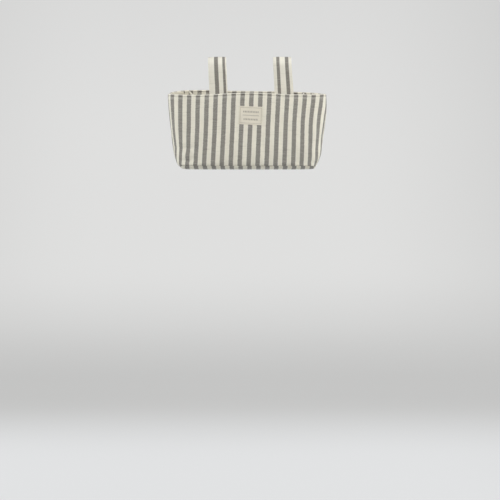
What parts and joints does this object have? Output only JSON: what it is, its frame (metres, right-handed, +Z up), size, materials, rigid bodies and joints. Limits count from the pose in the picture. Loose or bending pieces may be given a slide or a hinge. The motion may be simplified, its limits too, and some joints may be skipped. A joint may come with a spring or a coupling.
{
  "type": "stroller organizer",
  "caption": "Soft open-topped organizer bag in striped cloth that hangs from a handlebar by two strap loops, with padded walls, dividers and an inner slip pocket.",
  "frame": {"origin": "centre of the base's flat underside", "axes": "+X to the right seen from the front, +Y from the front to the back, where the straps are, +Z up"},
  "size_m": [0.3954, 0.1315, 0.2852],
  "materials": {
    "striped_cloth": "matt woven stripes",
    "lining_cloth": "matt plain weave",
    "binding_tape": "matt",
    "label_cloth": "matt",
    "wadding": "matt",
    "board": "matt",
    "hook_and_loop": "matt"
  },
  "bodies": {
    "root": {"front_wall": "striped_cloth", "back_wall": "striped_cloth", "base_panel": "striped_cloth", "strap_left": "striped_cloth", "strap_right": "striped_cloth", "lining_front": "lining_cloth", "lining_back": "lining_cloth", "lining_base": "lining_cloth", "divider_left": "lining_cloth", "divider_right": "lining_cloth", "slip_pocket": "lining_cloth", "pocket_binding": "binding_tape", "label": "label_cloth", "wadding_front": "wadding", "wadding_back": "wadding", "base_board": "board", "hook_patch_left": "hook_and_loop", "hook_patch_right": "hook_and_loop", "loop_patch_left": "hook_and_loop", "loop_patch_right": "hook_and_loop"}
  },
  "joints": []
}
